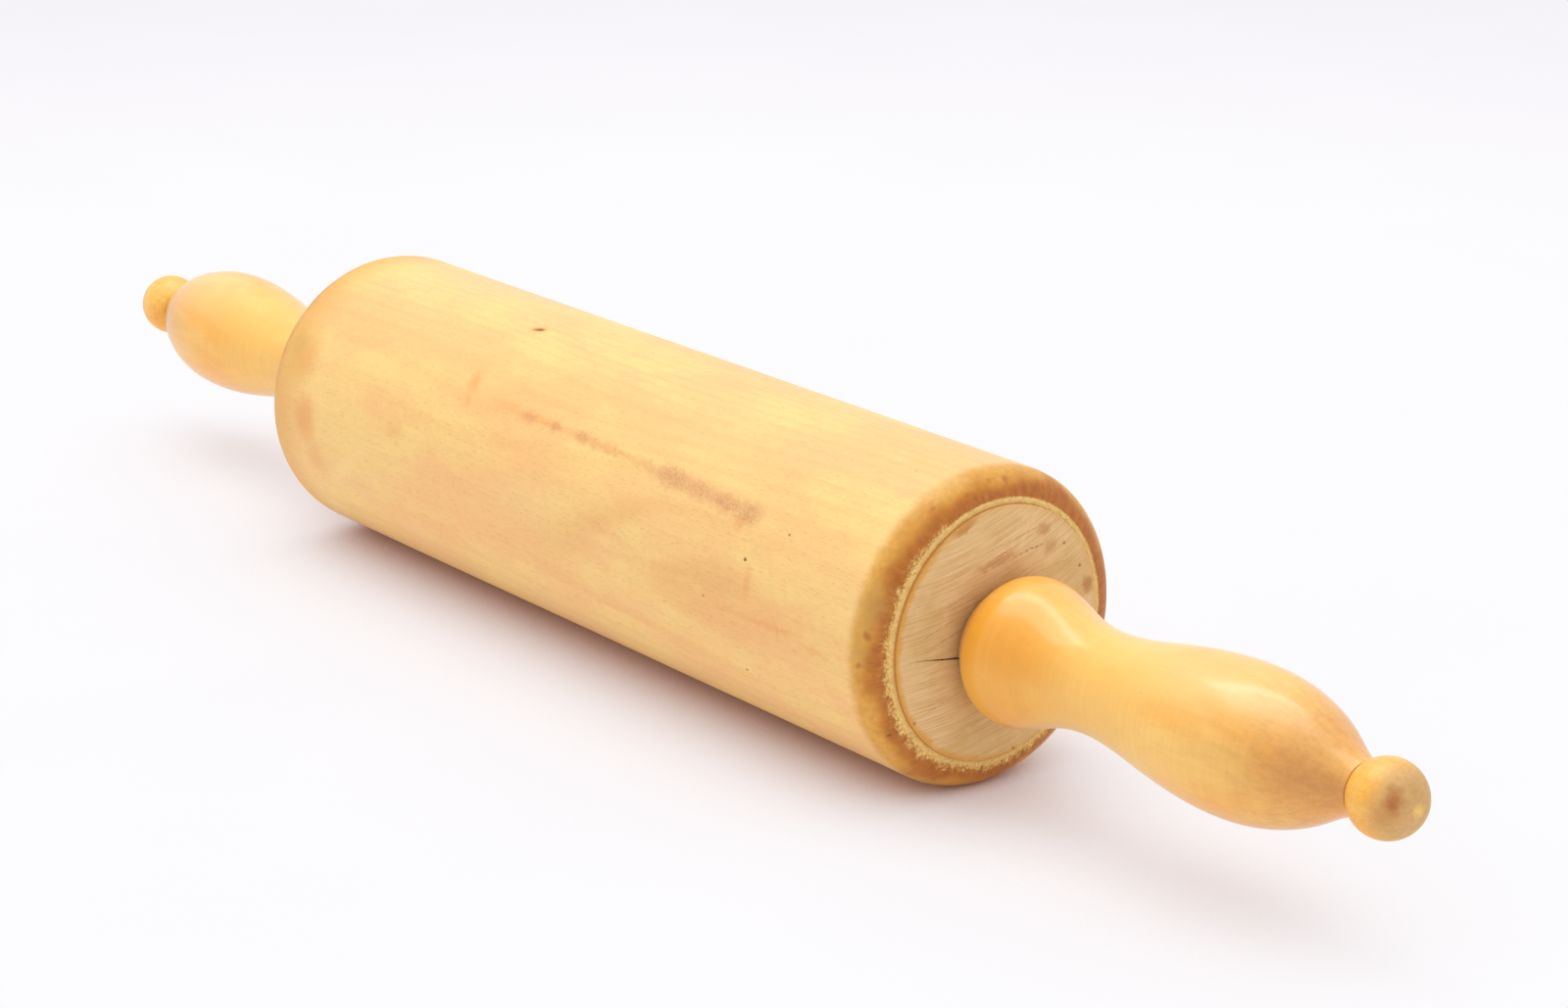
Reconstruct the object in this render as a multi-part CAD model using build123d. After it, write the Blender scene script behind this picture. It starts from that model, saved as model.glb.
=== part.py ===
from build123d import *
import math
import os

os.makedirs("parts", exist_ok=True)

# Wooden rolling pin with revolving barrel and handles, in millimetres.
# X runs along the pin, +Z is up, and the origin is the middle of the barrel on its axis.
# One axle dowel runs through a loose bore in the barrel and lies on the bottom of it. Each handle
# spins on the dowel, and a ball glued on each end of the dowel keeps the handles on.

# Barrel
barrel_length = 254.0
barrel_radius = 37.1
barrel_bore_radius = 6.35
right_round_length = 7.4
left_round_length = 9.5
round_height = 6.5
step_width = 1.1
step_depth = 0.8
mouth_chamfer = 0.8

# Axle dowel
axle_radius = 4.76
axle_chamfer = 0.8

# End balls
ball_radius = 8.5
ball_socket_depth = 10.0
glue_room = 0.5

# Handles
handle_length = 107.7
base_radius = 12.2
bead_radius = 17.05
neck_radius = 11.8
swell_radius = 16.8
tip_radius = 5.9
cup_radius = 5.5
cup_depth = 0.8
bore_chamfer = 0.4

# Fits
axle_seat_gap = 0.04
glue_gap = 0.05
running_clearance = 0.08
base_gap = 0.6
cup_gap = 0.3

# The handle's outline as shares. A station is a share of the handle's length from its base, and
# a rise is a share of the step from the smaller to the larger radius on either side of it.
base_rise_shares = [(0.0318, 0.56), (0.0536, 0.86)]
bead_station_share = 0.0874
bead_fall_shares = [(0.143, 0.78), (0.208, 0.31)]
neck_station_share = 0.31
swell_rise_shares = [(0.403, 0.16), (0.496, 0.53), (0.589, 0.855)]
swell_station_share = 0.6865
swell_fall_shares = [(0.774, 0.942), (0.8485, 0.759), (0.904, 0.523), (0.951, 0.249)]

# What follows from the sizes above
face_x = barrel_length / 2
step_radius = barrel_radius - round_height
disc_radius = step_radius - step_width
axle_z = axle_radius + axle_seat_gap - barrel_bore_radius
bore_radius = axle_radius + running_clearance
socket_radius = axle_radius + glue_gap
base_x = face_x + base_gap
tip_x = base_x + handle_length
ball_back = math.sqrt(ball_radius**2 - socket_radius**2)
ball_x = tip_x + cup_gap + math.sqrt(ball_radius**2 - cup_radius**2)
socket_floor_x = ball_x - ball_back + ball_socket_depth
axle_end_x = socket_floor_x - glue_room


def turned(outline):
    """A solid of revolution about X, from a closed outline of wires in the XY plane."""
    return revolve(make_face(outline), Axis.X)


def straight(*points):
    """Straight runs through the points."""
    return Polyline(*points)


def rounded_edge(side, round_length):
    """The barrel's rounded edge at one end: a quarter ellipse that ends square on the step."""
    return EllipticalCenterArc(
        (side * (face_x - round_length), barrel_radius - round_height),
        round_length - step_depth,
        round_height,
        start_angle=0 if side > 0 else 90,
        arc_size=90,
    )


def barrel_end(side):
    """The outline of one end face, from the step's rim in to the axis."""
    step_x = side * (face_x - step_depth)
    return straight(
        (step_x, step_radius),
        (step_x, disc_radius),
        (side * face_x, disc_radius),
        (side * face_x, 0),
    )


def bore(end_x, radius, chamfer):
    """A hole along X between -end_x and end_x, with both mouths eased outwards."""
    return turned(
        straight(
            (-end_x, 0),
            (-end_x, radius + chamfer),
            (-end_x + chamfer, radius),
            (end_x - chamfer, radius),
            (end_x, radius + chamfer),
            (end_x, 0),
            (-end_x, 0),
        )
    )


def make_barrel():
    """The rolling cylinder: rounded edges, a turned step round each end disc, a loose bore."""
    outline = [
        rounded_edge(1, right_round_length),
        barrel_end(1),
        straight((face_x, 0), (-face_x, 0)),
        barrel_end(-1),
        rounded_edge(-1, left_round_length),
        straight(
            (-face_x + left_round_length, barrel_radius),
            (face_x - right_round_length, barrel_radius),
        ),
    ]
    return turned(outline) - bore(face_x, barrel_bore_radius, mouth_chamfer)


def make_axle():
    """The dowel that carries the handles, with chamfered ends inside the balls."""
    outline = straight(
        (-axle_end_x, 0),
        (-axle_end_x, axle_radius - axle_chamfer),
        (-axle_end_x + axle_chamfer, axle_radius),
        (axle_end_x - axle_chamfer, axle_radius),
        (axle_end_x, axle_radius - axle_chamfer),
        (axle_end_x, 0),
        (-axle_end_x, 0),
    )
    return turned(outline)


def make_end_ball():
    """The right end ball, with the blind socket that the axle is glued into."""
    outline = [
        CenterArc(
            (ball_x, 0),
            ball_radius,
            0,
            180 - math.degrees(math.asin(socket_radius / ball_radius)),
        ),
        straight(
            (ball_x - ball_back, socket_radius),
            (socket_floor_x, socket_radius),
            (socket_floor_x, 0),
            (ball_x + ball_radius, 0),
        ),
    ]
    return turned(outline)


def between(low, high, station_rises):
    """Outline points whose radius lies between two radii, at shares of the handle's length."""
    return [
        (base_x + station * handle_length, low + rise * (high - low))
        for station, rise in station_rises
    ]


def handle_curve():
    """The turned outline of the right handle, from its base to its tip."""
    points = [(base_x, base_radius)]
    points += between(base_radius, bead_radius, base_rise_shares)
    points += [(base_x + bead_station_share * handle_length, bead_radius)]
    points += between(neck_radius, bead_radius, bead_fall_shares)
    points += [(base_x + neck_station_share * handle_length, neck_radius)]
    points += between(neck_radius, swell_radius, swell_rise_shares)
    points += [(base_x + swell_station_share * handle_length, swell_radius)]
    points += between(tip_radius, swell_radius, swell_fall_shares)
    points += [(tip_x, tip_radius)]
    return Spline(*points)


def make_handle():
    """The right handle: bead, waist and palm swell, bored, with a cupped tip behind the ball."""
    outline = [
        handle_curve(),
        straight(
            (tip_x, tip_radius),
            (tip_x, cup_radius),
            (tip_x - cup_depth, bore_radius),
            (base_x + bore_chamfer, bore_radius),
            (base_x, bore_radius + bore_chamfer),
            (base_x, base_radius),
        ),
    ]
    return turned(outline)


def on_axle(solid):
    """The piece moved down from the barrel's axis to the axle's own axis."""
    return Pos(0, 0, axle_z) * solid


def mirrored(solid):
    """The same piece at the left end."""
    return mirror(solid, Plane.YZ)


def main():
    end_ball = on_axle(make_end_ball())
    handle = on_axle(make_handle())
    nodes = {
        "barrel": make_barrel(),
        "axle": on_axle(make_axle()),
        "end_ball_right": end_ball,
        "end_ball_left": mirrored(end_ball),
        "handle_right": handle,
        "handle_left": mirrored(handle),
    }
    for name, solid in nodes.items():
        export_step(solid, f"parts/{name}.step")


main()
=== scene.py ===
import math

import bpy
import numpy as np
from mathutils import Matrix, Vector


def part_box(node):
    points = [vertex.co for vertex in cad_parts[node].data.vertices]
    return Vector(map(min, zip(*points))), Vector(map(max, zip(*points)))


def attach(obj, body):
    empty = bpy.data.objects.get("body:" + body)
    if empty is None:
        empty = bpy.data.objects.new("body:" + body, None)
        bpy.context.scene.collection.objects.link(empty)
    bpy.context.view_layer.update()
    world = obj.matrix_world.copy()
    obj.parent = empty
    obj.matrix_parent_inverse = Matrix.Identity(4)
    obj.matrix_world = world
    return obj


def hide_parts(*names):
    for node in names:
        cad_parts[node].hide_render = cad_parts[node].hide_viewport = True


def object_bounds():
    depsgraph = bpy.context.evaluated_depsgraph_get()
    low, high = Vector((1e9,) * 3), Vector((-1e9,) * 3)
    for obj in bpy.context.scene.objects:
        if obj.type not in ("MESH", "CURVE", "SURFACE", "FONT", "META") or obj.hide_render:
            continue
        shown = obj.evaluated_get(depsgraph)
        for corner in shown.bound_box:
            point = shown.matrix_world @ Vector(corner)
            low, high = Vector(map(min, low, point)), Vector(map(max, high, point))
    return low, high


# Looks of a wooden rolling pin: a barrel on a through axle, two turned handles and two end balls.
# Lengths of shapes are in metres. Materials work in millimetres, from object coordinates.
# An angle round the pin is 0 where the surface faces -Y and a quarter turn where it faces up.
MM = 0.001

# Camera, worked out from the photograph's outlines
CAMERA_PLACE = Vector((0.68238, -0.49999, 0.27236))
CAMERA_AIM = Vector((-0.74567, 0.59032, -0.30903))
CAMERA_LENS = 82.66
CAMERA_SENSOR = 36
CAMERA_CLIP = (0.05, 50)

# Barrel's turned ends
RIGHT_ROUND_LENGTH = 7.4 * MM
LEFT_ROUND_LENGTH = 9.5 * MM
ROUND_HEIGHT = 6.5 * MM
STEP_WIDTH = 1.1 * MM
STEP_DEPTH = 0.8 * MM
BORE_RADIUS = 6.35 * MM
MOUTH_CHAMFER = 0.8 * MM
CORNER_EASE = 0.12 * MM

# Sockets and bores of the end balls and handles
BALL_SOCKET_RADIUS = 4.81 * MM
BALL_SOCKET_DEPTH = 10 * MM
HANDLE_BORE_RADIUS = 4.84 * MM
HANDLE_BORE_CHAMFER = 0.4 * MM
HANDLE_CUP_RADIUS = 5.5 * MM
HANDLE_CUP_DEPTH = 0.8 * MM
HANDLE_BASE_EASE = 0.3 * MM
TIP_LIP = 0.24 * MM
TIP_RIM_LIP = 0.5 * MM
TIP_EASE = 0.14 * MM

# How finely the meshes are cut
GRID = 32
RING_ANGLES = 560
DISC_STEP = 0.4 * MM
BARREL_STEP = 2.4 * MM
ROUND_STEPS = 30
HANDLE_ANGLES = 160
HANDLE_STEP = 0.75 * MM
BALL_ANGLES = 96
BALL_STEPS = 56
NICK_STEP = 0.45 * MM
BARREL_BORE_STEP = 12 * MM
HANDLE_BASE_STEP = 1.2 * MM
HANDLE_BORE_STEP = 6 * MM
SOCKET_STEP = 1.5 * MM
# Where the barrel's columns are finer, at the crack and at the largest nick: middle, reach and
# step in degrees
FINER_COLUMNS = [(8, 10, 0.35), (76.3, 2, 0.4)]

# Marks that a tool or a knock left on the barrel: place along x in mm, place round it in degrees,
# length and width in mm, turn in degrees, depth in mm
NICKS = [
    (-36.6, 76.3, 3.6, 1.5, 18, 0.45),
    (80.9, 19.4, 1.1, 1, 0, 0.15),
    (91.9, 33, 0.9, 0.8, 0, 0.12),
    (80.5, -22.7, 1, 0.8, 0, 0.12),
    (-12, 141, 5, 1, 8, 0.2),
    (64, 205, 2.4, 1.6, -20, 0.25),
    (-71, 238, 3.2, 0.9, 4, 0.18),
    (22, -61, 1.6, 1, 30, 0.14),
]

# Torn fibres round the step at each end of the barrel. Lengths are in mm, leans in radians.
TORN_REACH = 1.3
FIBRE_COUNT = 2400
FIBRE_RINGS = 4
FIBRE_CROWDING = 2.2
FIBRE_LENGTHS = (0.1, 0.32)
FIBRE_LEANS = (-1.5, 1.5)
FIBRE_WIDTHS = (0.08, 0.18)
FIBRE_LIFTS = (0, 0.05)

# The end grain's crack, by y and z in mm
CRACK_START = Vector((-10.4, -3.3))
CRACK_END = Vector((-25.6, -1))
CRACK_HALF_WIDTH = 0.2
CRACK_DEPTH = 0.8
CRACK_WANDER = 0.14
CRACK_WAVES = 7

# Saw marks on the end grain: their lean, their spacing in mm and their bow
SAW_LEAN = math.radians(14)
SAW_SPACING = 1.3
SAW_BOW = -0.0045
# Painted shade round the handle's base, between these radii in mm
SHADE_AT_HANDLE_FADE = (18, 11.5)

# Maple's growth rings, in mm: their spacing, how they drift along x and how far they wander. A
# pith is the y and z, in mm, of the line that the rings lie round.
RING_SPACING = 2.3
RING_DRIFT = 0.012
RING_WANDER = 9
BARREL_PITH = (58, -4)
HANDLE_PITHS = ((40, 22), (-30, 34))
BALL_PITH = (6, 14)
AXLE_PITH = (0, 30)
# Plain values of the woods' shaders
BARREL_GLOSS = {"Specular IOR Level": 0.45}
FRAY_GLOSS = {"Specular IOR Level": 0.2}
HANDLE_GLOSS = {
    "Specular IOR Level": 0.4,
    "Coat Weight": 0.7,
    "Coat Roughness": 0.2,
    "Coat IOR": 1.5,
}
BALL_GLOSS = {
    "Specular IOR Level": 0.5,
    "Coat Weight": 0.2,
    "Coat Roughness": 0.35,
    "Coat IOR": 1.5,
}
# Where the barrel's arched figure shows: x, y, length, width, turn and soft share
BARREL_SWIRL = (46, 3, 96, 34, 3, 1.2)

# Marks on the barrel: place along x in mm, place round it in degrees, length and width in mm,
# turn in degrees and strength
GREY_STREAK = [
    (38, 36.9, 14, 3.4, -2, 0.35),
    (47, 36.5, 16, 5.2, -2, 0.6),
    (57, 35.9, 18, 4.6, -1, 0.5),
    (68, 35.1, 18, 4.4, -2, 0.55),
    (76.5, 34.7, 9, 5.6, 0, 0.6),
    (22, 37.6, 26, 2.4, -1, 0.25),
    (-11.8, 38.1, 6, 3.2, 10, 0.35),
    (10.3, 38.2, 5, 3.6, 0, 0.45),
    (-0.9, 37.9, 4.5, 3.2, 0, 0.45),
]
ORANGE_MARKS = [
    (-38.3, 43, 4.5, 6, 25, 0.6),
    (-37, 35.5, 3, 5, 25, 0.3),
    (-36.6, 76.3, 6, 3.4, 18, 0.4),
    (-20.7, 38.8, 16, 2.4, 0, 0.3),
    (-8, 38.2, 24, 2.4, 0, 0.4),
    (18, 37.6, 30, 2.4, 0, 0.35),
    (78, -0.6, 14, 1.6, 3, 0.35),
    (92.4, 0.1, 22, 1.9, 2, 0.45),
    (108, -2.2, 12, 1.6, -5, 0.4),
    (-110, 27, 12, 13, 0, 0.6),
    (-105, 3, 9, 12, 0, 0.7),
    (-101.5, -13, 9, 8, 0, 0.45),
    (-63, 13, 9, 5, 0, 0.35),
    (75, 30.5, 3.5, 4, 0, 0.4),
    (83, 11.5, 2.6, 8, 0, 0.4),
    (46, 4, 34, 2, 6, 0.2),
    (30, 9, 26, 1.8, -8, 0.2),
]
OLIVE_MARKS = [
    (123, 20.3, 5, 13, 0, 0.5),
    (122.4, 4, 3.4, 9, 0, 0.35),
    (-115.3, 31.5, 7, 7, 0, 0.4),
    (72, 9, 18, 11, 0, 0.08),
]
DARK_DOTS = [
    (80.9, 19.4, 1, 0.9, 0, 0.9),
    (91.9, 33, 0.8, 0.6, 0, 0.7),
    (68, 1, 0.7, 0.6, 0, 0.6),
    (80.5, -22.7, 1, 0.7, 0, 0.7),
    (124.9, -30.6, 0.9, 0.8, 0, 0.7),
]
RED_DOTS = [
    (-36.6, 76.3, 3.8, 1.7, 18, 0.9),
    (123.7, 10.2, 1.3, 2.2, 20, 0.6),
    (122.5, -0.6, 1.1, 1.6, -30, 0.5),
    (110.5, 74, 1, 0.8, 0, 0.3),
    (125, 76.3, 0.9, 1.8, 0, 0.35),
    (124.3, 87.6, 0.9, 1.3, 0, 0.4),
    (124.5, 95.2, 1.3, 1.9, 0, 0.5),
    (123.6, 62, 0.9, 1.6, 0, 0.4),
]
PALE_SCUFFS = [
    (-88, -12.8, 12, 5, 30, 0.35),
    (-60, -30, 20, 6, 5, 0.18),
]
# Marks on the right end face: y and z in mm, length and width in mm, turn in degrees, strength
FACE_BLOTCHES = [
    (-10.3, 26.6, 7, 2.6, 25, 0.9),
    (13, 21.8, 4, 3, 0, 0.6),
    (14.9, 17.3, 4.6, 3.2, 10, 0.6),
    (26.6, 5.9, 3.2, 4.6, 20, 0.95),
    (-1, 16.8, 12, 2.2, 10, 0.65),
    (-14, 9, 12, 2.2, 14, 0.2),
]
FACE_SCRATCHES = [
    (7.2, 21.6, 7, 1, 68, 0.7),
    (6.6, 25, 5, 0.9, 40, 0.5),
    (3.8, 20, 4, 0.8, 100, 0.35),
    (9.4, 23.4, 5, 0.7, 80, 0.4),
]
FACE_DOTS = [
    (24, 10.8, 0.8, 0.7, 0, 0.75),
    (-24.1, -15.5, 1, 0.9, 0, 0.8),
    (5.1, -28.4, 1, 0.8, 0, 0.8),
    (19.1, 17.1, 0.9, 0.7, 0, 0.6),
]
SAW_STROKES = [
    (8.8, 17.7, 9, 0.34, 9, 0.75),
    (0.5, 18.3, 8, 0.26, 12, 0.45),
    (-18, 4.6, 15, 0.3, 17, 0.35),
    (-15.5, 2, 11, 0.26, 18, 0.35),
    (-13.5, 9.8, 13, 0.3, 16, 0.3),
    (4, 21, 20, 0.3, 12, 0.3),
    (16, 12.4, 12, 0.3, 8, 0.25),
    (-16, -12.6, 14, 0.28, 16, 0.3),
    (-9, -20.8, 15, 0.28, 14, 0.25),
]

# Patches on the handles: painted shade across the beads' middles, where the lacquer shows no
# reflection, a painted highlight on the swells' tops, then the browned tip, browner on its front
# side, which is
# partly painted shade: place along x in mm, place round in degrees, length and width in mm, turn in
# degrees and strength
HANDLE_PAINTED_SHADES = [
    (146, 18, 36, 13, -4, 0.75),
    (146, -16, 34, 14, 0, 0.45),
]
HANDLE_PAINTED_HIGHLIGHTS = [
    (202, 60, 50, 16, 0, 0.45),
]
HANDLE_BROWNS_AND_SHADE = [
    (232, 12, 28, 15, 0, 0.85),
    (236, -14, 18, 15, 0, 0.7),
    (216, 14, 26, 6, 0, 0.25),
]
HANDLE_ARC_RADIUS = 15.5
# Where a handle's tones fade in, in mm along x, and its neck's middle and half-widths
BASE_FADE = (160, 136)
NECK_MIDDLE = 172
NECK_FADE = (26, 4)
END_FADE = (140, 190)
TIP_FADE = (194, 226)

# Where the near ball's smear, the smear's tail and a darker patch lie, from the ball's middle in mm
BALL_SMEAR = (6.2, -5.3, 2.2)
BALL_SMEAR_TAIL = (5.7, -4.6, 4.3)
BALL_SHADE = (5, -6.6, -0.2)

# Stage and lamps, in metres and watts
FLOOR_REACH = 7.0
FLOOR_FADE = (420, 1150)
WORLD_LEVEL = 0.79
WORLD_TINT = (1, 0.955, 0.955, 1)
LAMP_TINT = (0.91, 1, 0.97)
STRIP_PLACE = (-0.45, 0.28, 1.4)
STRIP_SIZE = (1.3, 0.27)
STRIP_POWER = 5.8
PANEL_PLACE = (-0.16, -0.12, 1.5)
PANEL_SIZE = (1.5, 0.8)
PANEL_POWER = 8.5
LAMPS_ALONG = (0.79, 0.62, 0)
# The paper: its level in the object's light and to the camera, the painted warm tint of its shadow,
# the painted darker and browner contact shadow beside the barrel, and how much open sky lifts it to
# white. A sky share is 1 where nothing is near.
PAPER_LEVEL = 0.9
PAPER_SHOWN_LEVEL = 0.79
OPEN_REACH = 0.35
OPEN_LOW = 0.04
OPEN_GAIN = 1.16
PAPER_SHADOW_TINT = (1, 0.85, 0.82, 1)
CONTACT_SHADOW_TINT = (0.85, 0.52, 0.4, 1)
OPEN_SAMPLES = 8
CONTACT_SKY = (0.32, 0.1)


def srgb(red, green, blue):
    """A linear colour with alpha, from the 0 to 255 values of a screen colour."""
    shares = [value / 255 for value in (red, green, blue)]
    linear = [s / 12.92 if s <= 0.04045 else ((s + 0.055) / 1.055) ** 2.4 for s in shares]
    return (*linear, 1)


# Colours of wood and its wear, and of the painted shade and painted highlights on it
LACQUERED = srgb(250, 204, 132)
LACQUERED_PEACH = srgb(251, 196, 125)
LACQUERED_YELLOW = srgb(252, 214, 134)
PORE = srgb(190, 128, 66)
RING_LINE = srgb(226, 152, 78)
BURNT = srgb(207, 133, 32)
BURNT_DEEP = srgb(179, 98, 10)
BURNT_PALE = srgb(226, 165, 66)
OLIVE_STAIN = srgb(206, 164, 84)
FRAYED = srgb(255, 226, 150)
END_GRAIN = srgb(239, 207, 149)
END_GRAIN_DARK = srgb(212, 168, 112)
END_GRAIN_PALE = srgb(247, 219, 172)
WALL_SHADE = srgb(210, 148, 74)
GREY_STAIN = srgb(194, 114, 78)
ORANGE_STAIN = srgb(232, 152, 72)
RED_SPOT = srgb(172, 86, 26)
RUST = srgb(186, 118, 60)
DARK_DOT = srgb(112, 66, 34)
SHADE_AT_HANDLE = srgb(136, 98, 66)
CRACK_SHADE = srgb(58, 34, 20)
AMBER = srgb(255, 191, 86)
AMBER_DEEP = srgb(253, 174, 46)
AMBER_YELLOW = srgb(255, 208, 106)
AMBER_PAINTED_SHADE = srgb(242, 162, 26)
AMBER_PAINTED_HIGHLIGHT = srgb(254, 224, 152)
AMBER_END = srgb(222, 154, 84)
AMBER_STREAK = srgb(206, 138, 62)
WORN_TAN = srgb(216, 172, 116)
BARE_DOWEL = srgb(222, 182, 124)
LACQUERED_TONES = (LACQUERED, LACQUERED_PEACH, LACQUERED_YELLOW)
AMBER_TONES = (AMBER, AMBER_DEEP, AMBER_YELLOW)
DOWEL_TONES = (BARE_DOWEL, END_GRAIN, END_GRAIN_PALE)
WHITE = (1, 1, 1, 1)
FLOOR_WHITE = (0.985, 0.975, 0.995, 1)
FLOOR_FAR = (0.915, 0.885, 0.935, 1)


def smooth_noise(points, size, seed):
    """Smooth random values from -1 to 1 at the points, in lumps of about that size."""
    lattice = np.random.default_rng(seed).uniform(-1, 1, (GRID, GRID, GRID))
    cell = points / size
    base = np.floor(cell).astype(int)
    share = cell - base
    share = share * share * (3 - 2 * share)
    total = np.zeros(points.shape[:-1])
    for corner in np.ndindex(2, 2, 2):
        index = (base + corner) % GRID
        weight = np.prod(np.where(corner, share, 1 - share), axis=-1)
        total += weight * lattice[index[..., 0], index[..., 1], index[..., 2]]
    return total


def smoothstep(value, low, high):
    """0 below low, 1 above high and smooth in between. Low may be the larger."""
    share = np.clip((value - low) / (high - low), 0, 1)
    return share * share * (3 - 2 * share)


def spread(start, stop, step):
    """Even places from start to stop, both ends in, at most a step apart."""
    count = max(1, math.ceil(abs(stop - start) / step))
    return np.linspace(start, stop, count + 1)


def refined(places, centre, reach, step):
    """The places with finer ones added around a centre."""
    extra = spread(centre - reach, centre + reach, step)
    inside = extra[(extra > places.min()) & (extra < places.max())]
    return np.unique(np.concatenate([places, inside]).round(7))


def outline_normals(outline, closed):
    """Unit normals of an outline of (x, r) points, on its right side as it runs."""
    if closed:
        along = np.roll(outline, -1, axis=0) - np.roll(outline, 1, axis=0)
    else:
        along = np.gradient(outline, axis=0)
    normals = np.stack([along[:, 1], -along[:, 0]], axis=1)
    return normals / np.maximum(np.linalg.norm(normals, axis=1, keepdims=True), 1e-12)


def turned_points(outline, angles, centre_z):
    """Points of an outline turned about the line along x at that height."""
    x = np.repeat(outline[:, :1], len(angles), axis=1)
    y = -outline[:, 1:] * np.cos(angles)
    z = outline[:, 1:] * np.sin(angles) + centre_z
    return np.stack([x, y, z], axis=-1)


def turned_faces(rows, columns, closed, first_pole, last_pole):
    """Quads between neighbouring rings, with fans of triangles at a pole."""
    first = [row * columns - (columns - 1 if first_pole and row else 0) for row in range(rows)]
    faces = []
    for row in range(rows if closed else rows - 1):
        here, after = first[row], first[(row + 1) % rows]
        for column in range(columns):
            beside = (column + 1) % columns
            if row == 0 and first_pole:
                faces.append((here, after + beside, after + column))
            elif row == rows - 2 and last_pole:
                faces.append((here + column, here + beside, after))
            else:
                faces.append((here + column, here + beside, after + beside, after + column))
    return faces


def new_piece(name, points, faces):
    """A smooth mesh object in the scene."""
    mesh = bpy.data.meshes.new(name)
    mesh.from_pydata(points, [], faces)
    mesh.polygons.foreach_set("use_smooth", [True] * len(mesh.polygons))
    mesh.update()
    piece = bpy.data.objects.new(name, mesh)
    bpy.context.scene.collection.objects.link(piece)
    return piece


def turned_piece(name, outline, angles, centre_z, cut=None, closed=True):
    """A smooth mesh turned from an outline, with its surface cut inwards by what cut returns."""
    first_pole = not closed and outline[0, 1] == 0
    last_pole = not closed and outline[-1, 1] == 0
    points = turned_points(outline, angles, centre_z)
    if cut is not None:
        normals = outline_normals(outline, closed)
        radial = np.stack([-np.cos(angles), np.sin(angles)], axis=-1)
        outward = np.empty_like(points)
        outward[..., 0] = normals[:, :1]
        outward[..., 1:] = normals[:, 1:, None] * radial[None]
        points = points - outward * np.maximum(cut(points), 0)[..., None]
    rows = []
    for index, ring in enumerate(points):
        is_pole = (index == 0 and first_pole) or (index == len(points) - 1 and last_pole)
        rows.append(ring[:1] if is_pole else ring)
    faces = turned_faces(len(rows), len(angles), closed, first_pole, last_pole)
    return new_piece(name, np.concatenate(rows).tolist(), faces)


def dress(piece, body, node, material):
    """The piece rides on its body, stands for its node and takes its material."""
    piece.data.materials.append(material)
    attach(piece, body)
    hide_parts(node)


# Barrel


def quarter_round(face_x, radius, round_length):
    """The barrel's rounded edge at the right, from the step's rim out to the full radius."""
    turn = np.linspace(0, math.pi / 2, ROUND_STEPS)
    x = face_x - round_length + (round_length - STEP_DEPTH) * np.cos(turn)
    r = radius - ROUND_HEIGHT + ROUND_HEIGHT * np.sin(turn)
    return np.stack([x, r], axis=1)


def barrel_end_outline(face_x, radius, round_length):
    """The right end's outline, from inside the bore out to the full radius."""
    step_x = face_x - STEP_DEPTH
    step_radius = radius - ROUND_HEIGHT
    disc_radius = step_radius - STEP_WIDTH
    mouth_radius = BORE_RADIUS + MOUTH_CHAMFER
    disc = spread(mouth_radius + CORNER_EASE, disc_radius - 2 * CORNER_EASE, DISC_STEP)
    wall = spread(face_x - CORNER_EASE, step_x + CORNER_EASE, STEP_DEPTH / 4)
    step = spread(disc_radius + CORNER_EASE, step_radius - CORNER_EASE, STEP_WIDTH / 6)
    points = [(face_x - MOUTH_CHAMFER - CORNER_EASE, BORE_RADIUS)]
    points += [(face_x - CORNER_EASE, mouth_radius - CORNER_EASE)]
    points += [(face_x, r) for r in disc]
    points += [(face_x - CORNER_EASE / 3, disc_radius - CORNER_EASE / 3)]
    points += [(x, disc_radius) for x in wall]
    points += [(step_x, r) for r in step]
    return np.concatenate([points, quarter_round(face_x, radius, round_length)])


def barrel_outline(face_x, radius):
    """The barrel's whole outline: right end, cylinder, left end and bore, closed on itself."""
    right = barrel_end_outline(face_x, radius, RIGHT_ROUND_LENGTH)
    left = barrel_end_outline(face_x, radius, LEFT_ROUND_LENGTH) * (-1, 1)
    places = spread(left[-1, 0], right[-1, 0], BARREL_STEP)
    for nick in NICKS:
        places = refined(places, nick[0] * MM, 0.7 * nick[2] * MM, NICK_STEP)
    middle = places[1:-1][::-1]
    middle = np.stack([middle, np.full(len(middle), radius)], axis=1)
    bore = spread(left[0, 0], right[0, 0], BARREL_BORE_STEP)[1:-1]
    bore = np.stack([bore, np.full(len(bore), BORE_RADIUS)], axis=1)
    return np.concatenate([right, middle, left[::-1], bore])


def barrel_angles():
    """Angles of the barrel's columns, finer at the crack and at the largest nick."""
    angles = np.linspace(0, 2 * math.pi, RING_ANGLES, endpoint=False)
    for place in FINER_COLUMNS:
        angles = refined(angles, *map(math.radians, place))
    return angles


def nick_cut(points_mm, angle, nick, radius_mm):
    """How deep one nick goes at each point, in mm."""
    x, place, length, width, turn, depth = nick
    away = (angle - math.radians(place) + math.pi) % (2 * math.pi) - math.pi
    along = points_mm[..., 0] - x
    across = away * radius_mm
    lean = math.radians(turn)
    u = (along * math.cos(lean) + across * math.sin(lean)) / (length / 2)
    v = (across * math.cos(lean) - along * math.sin(lean)) / (width / 2)
    return depth * smoothstep(np.hypot(u, v), 1.1, 0.2)


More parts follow.
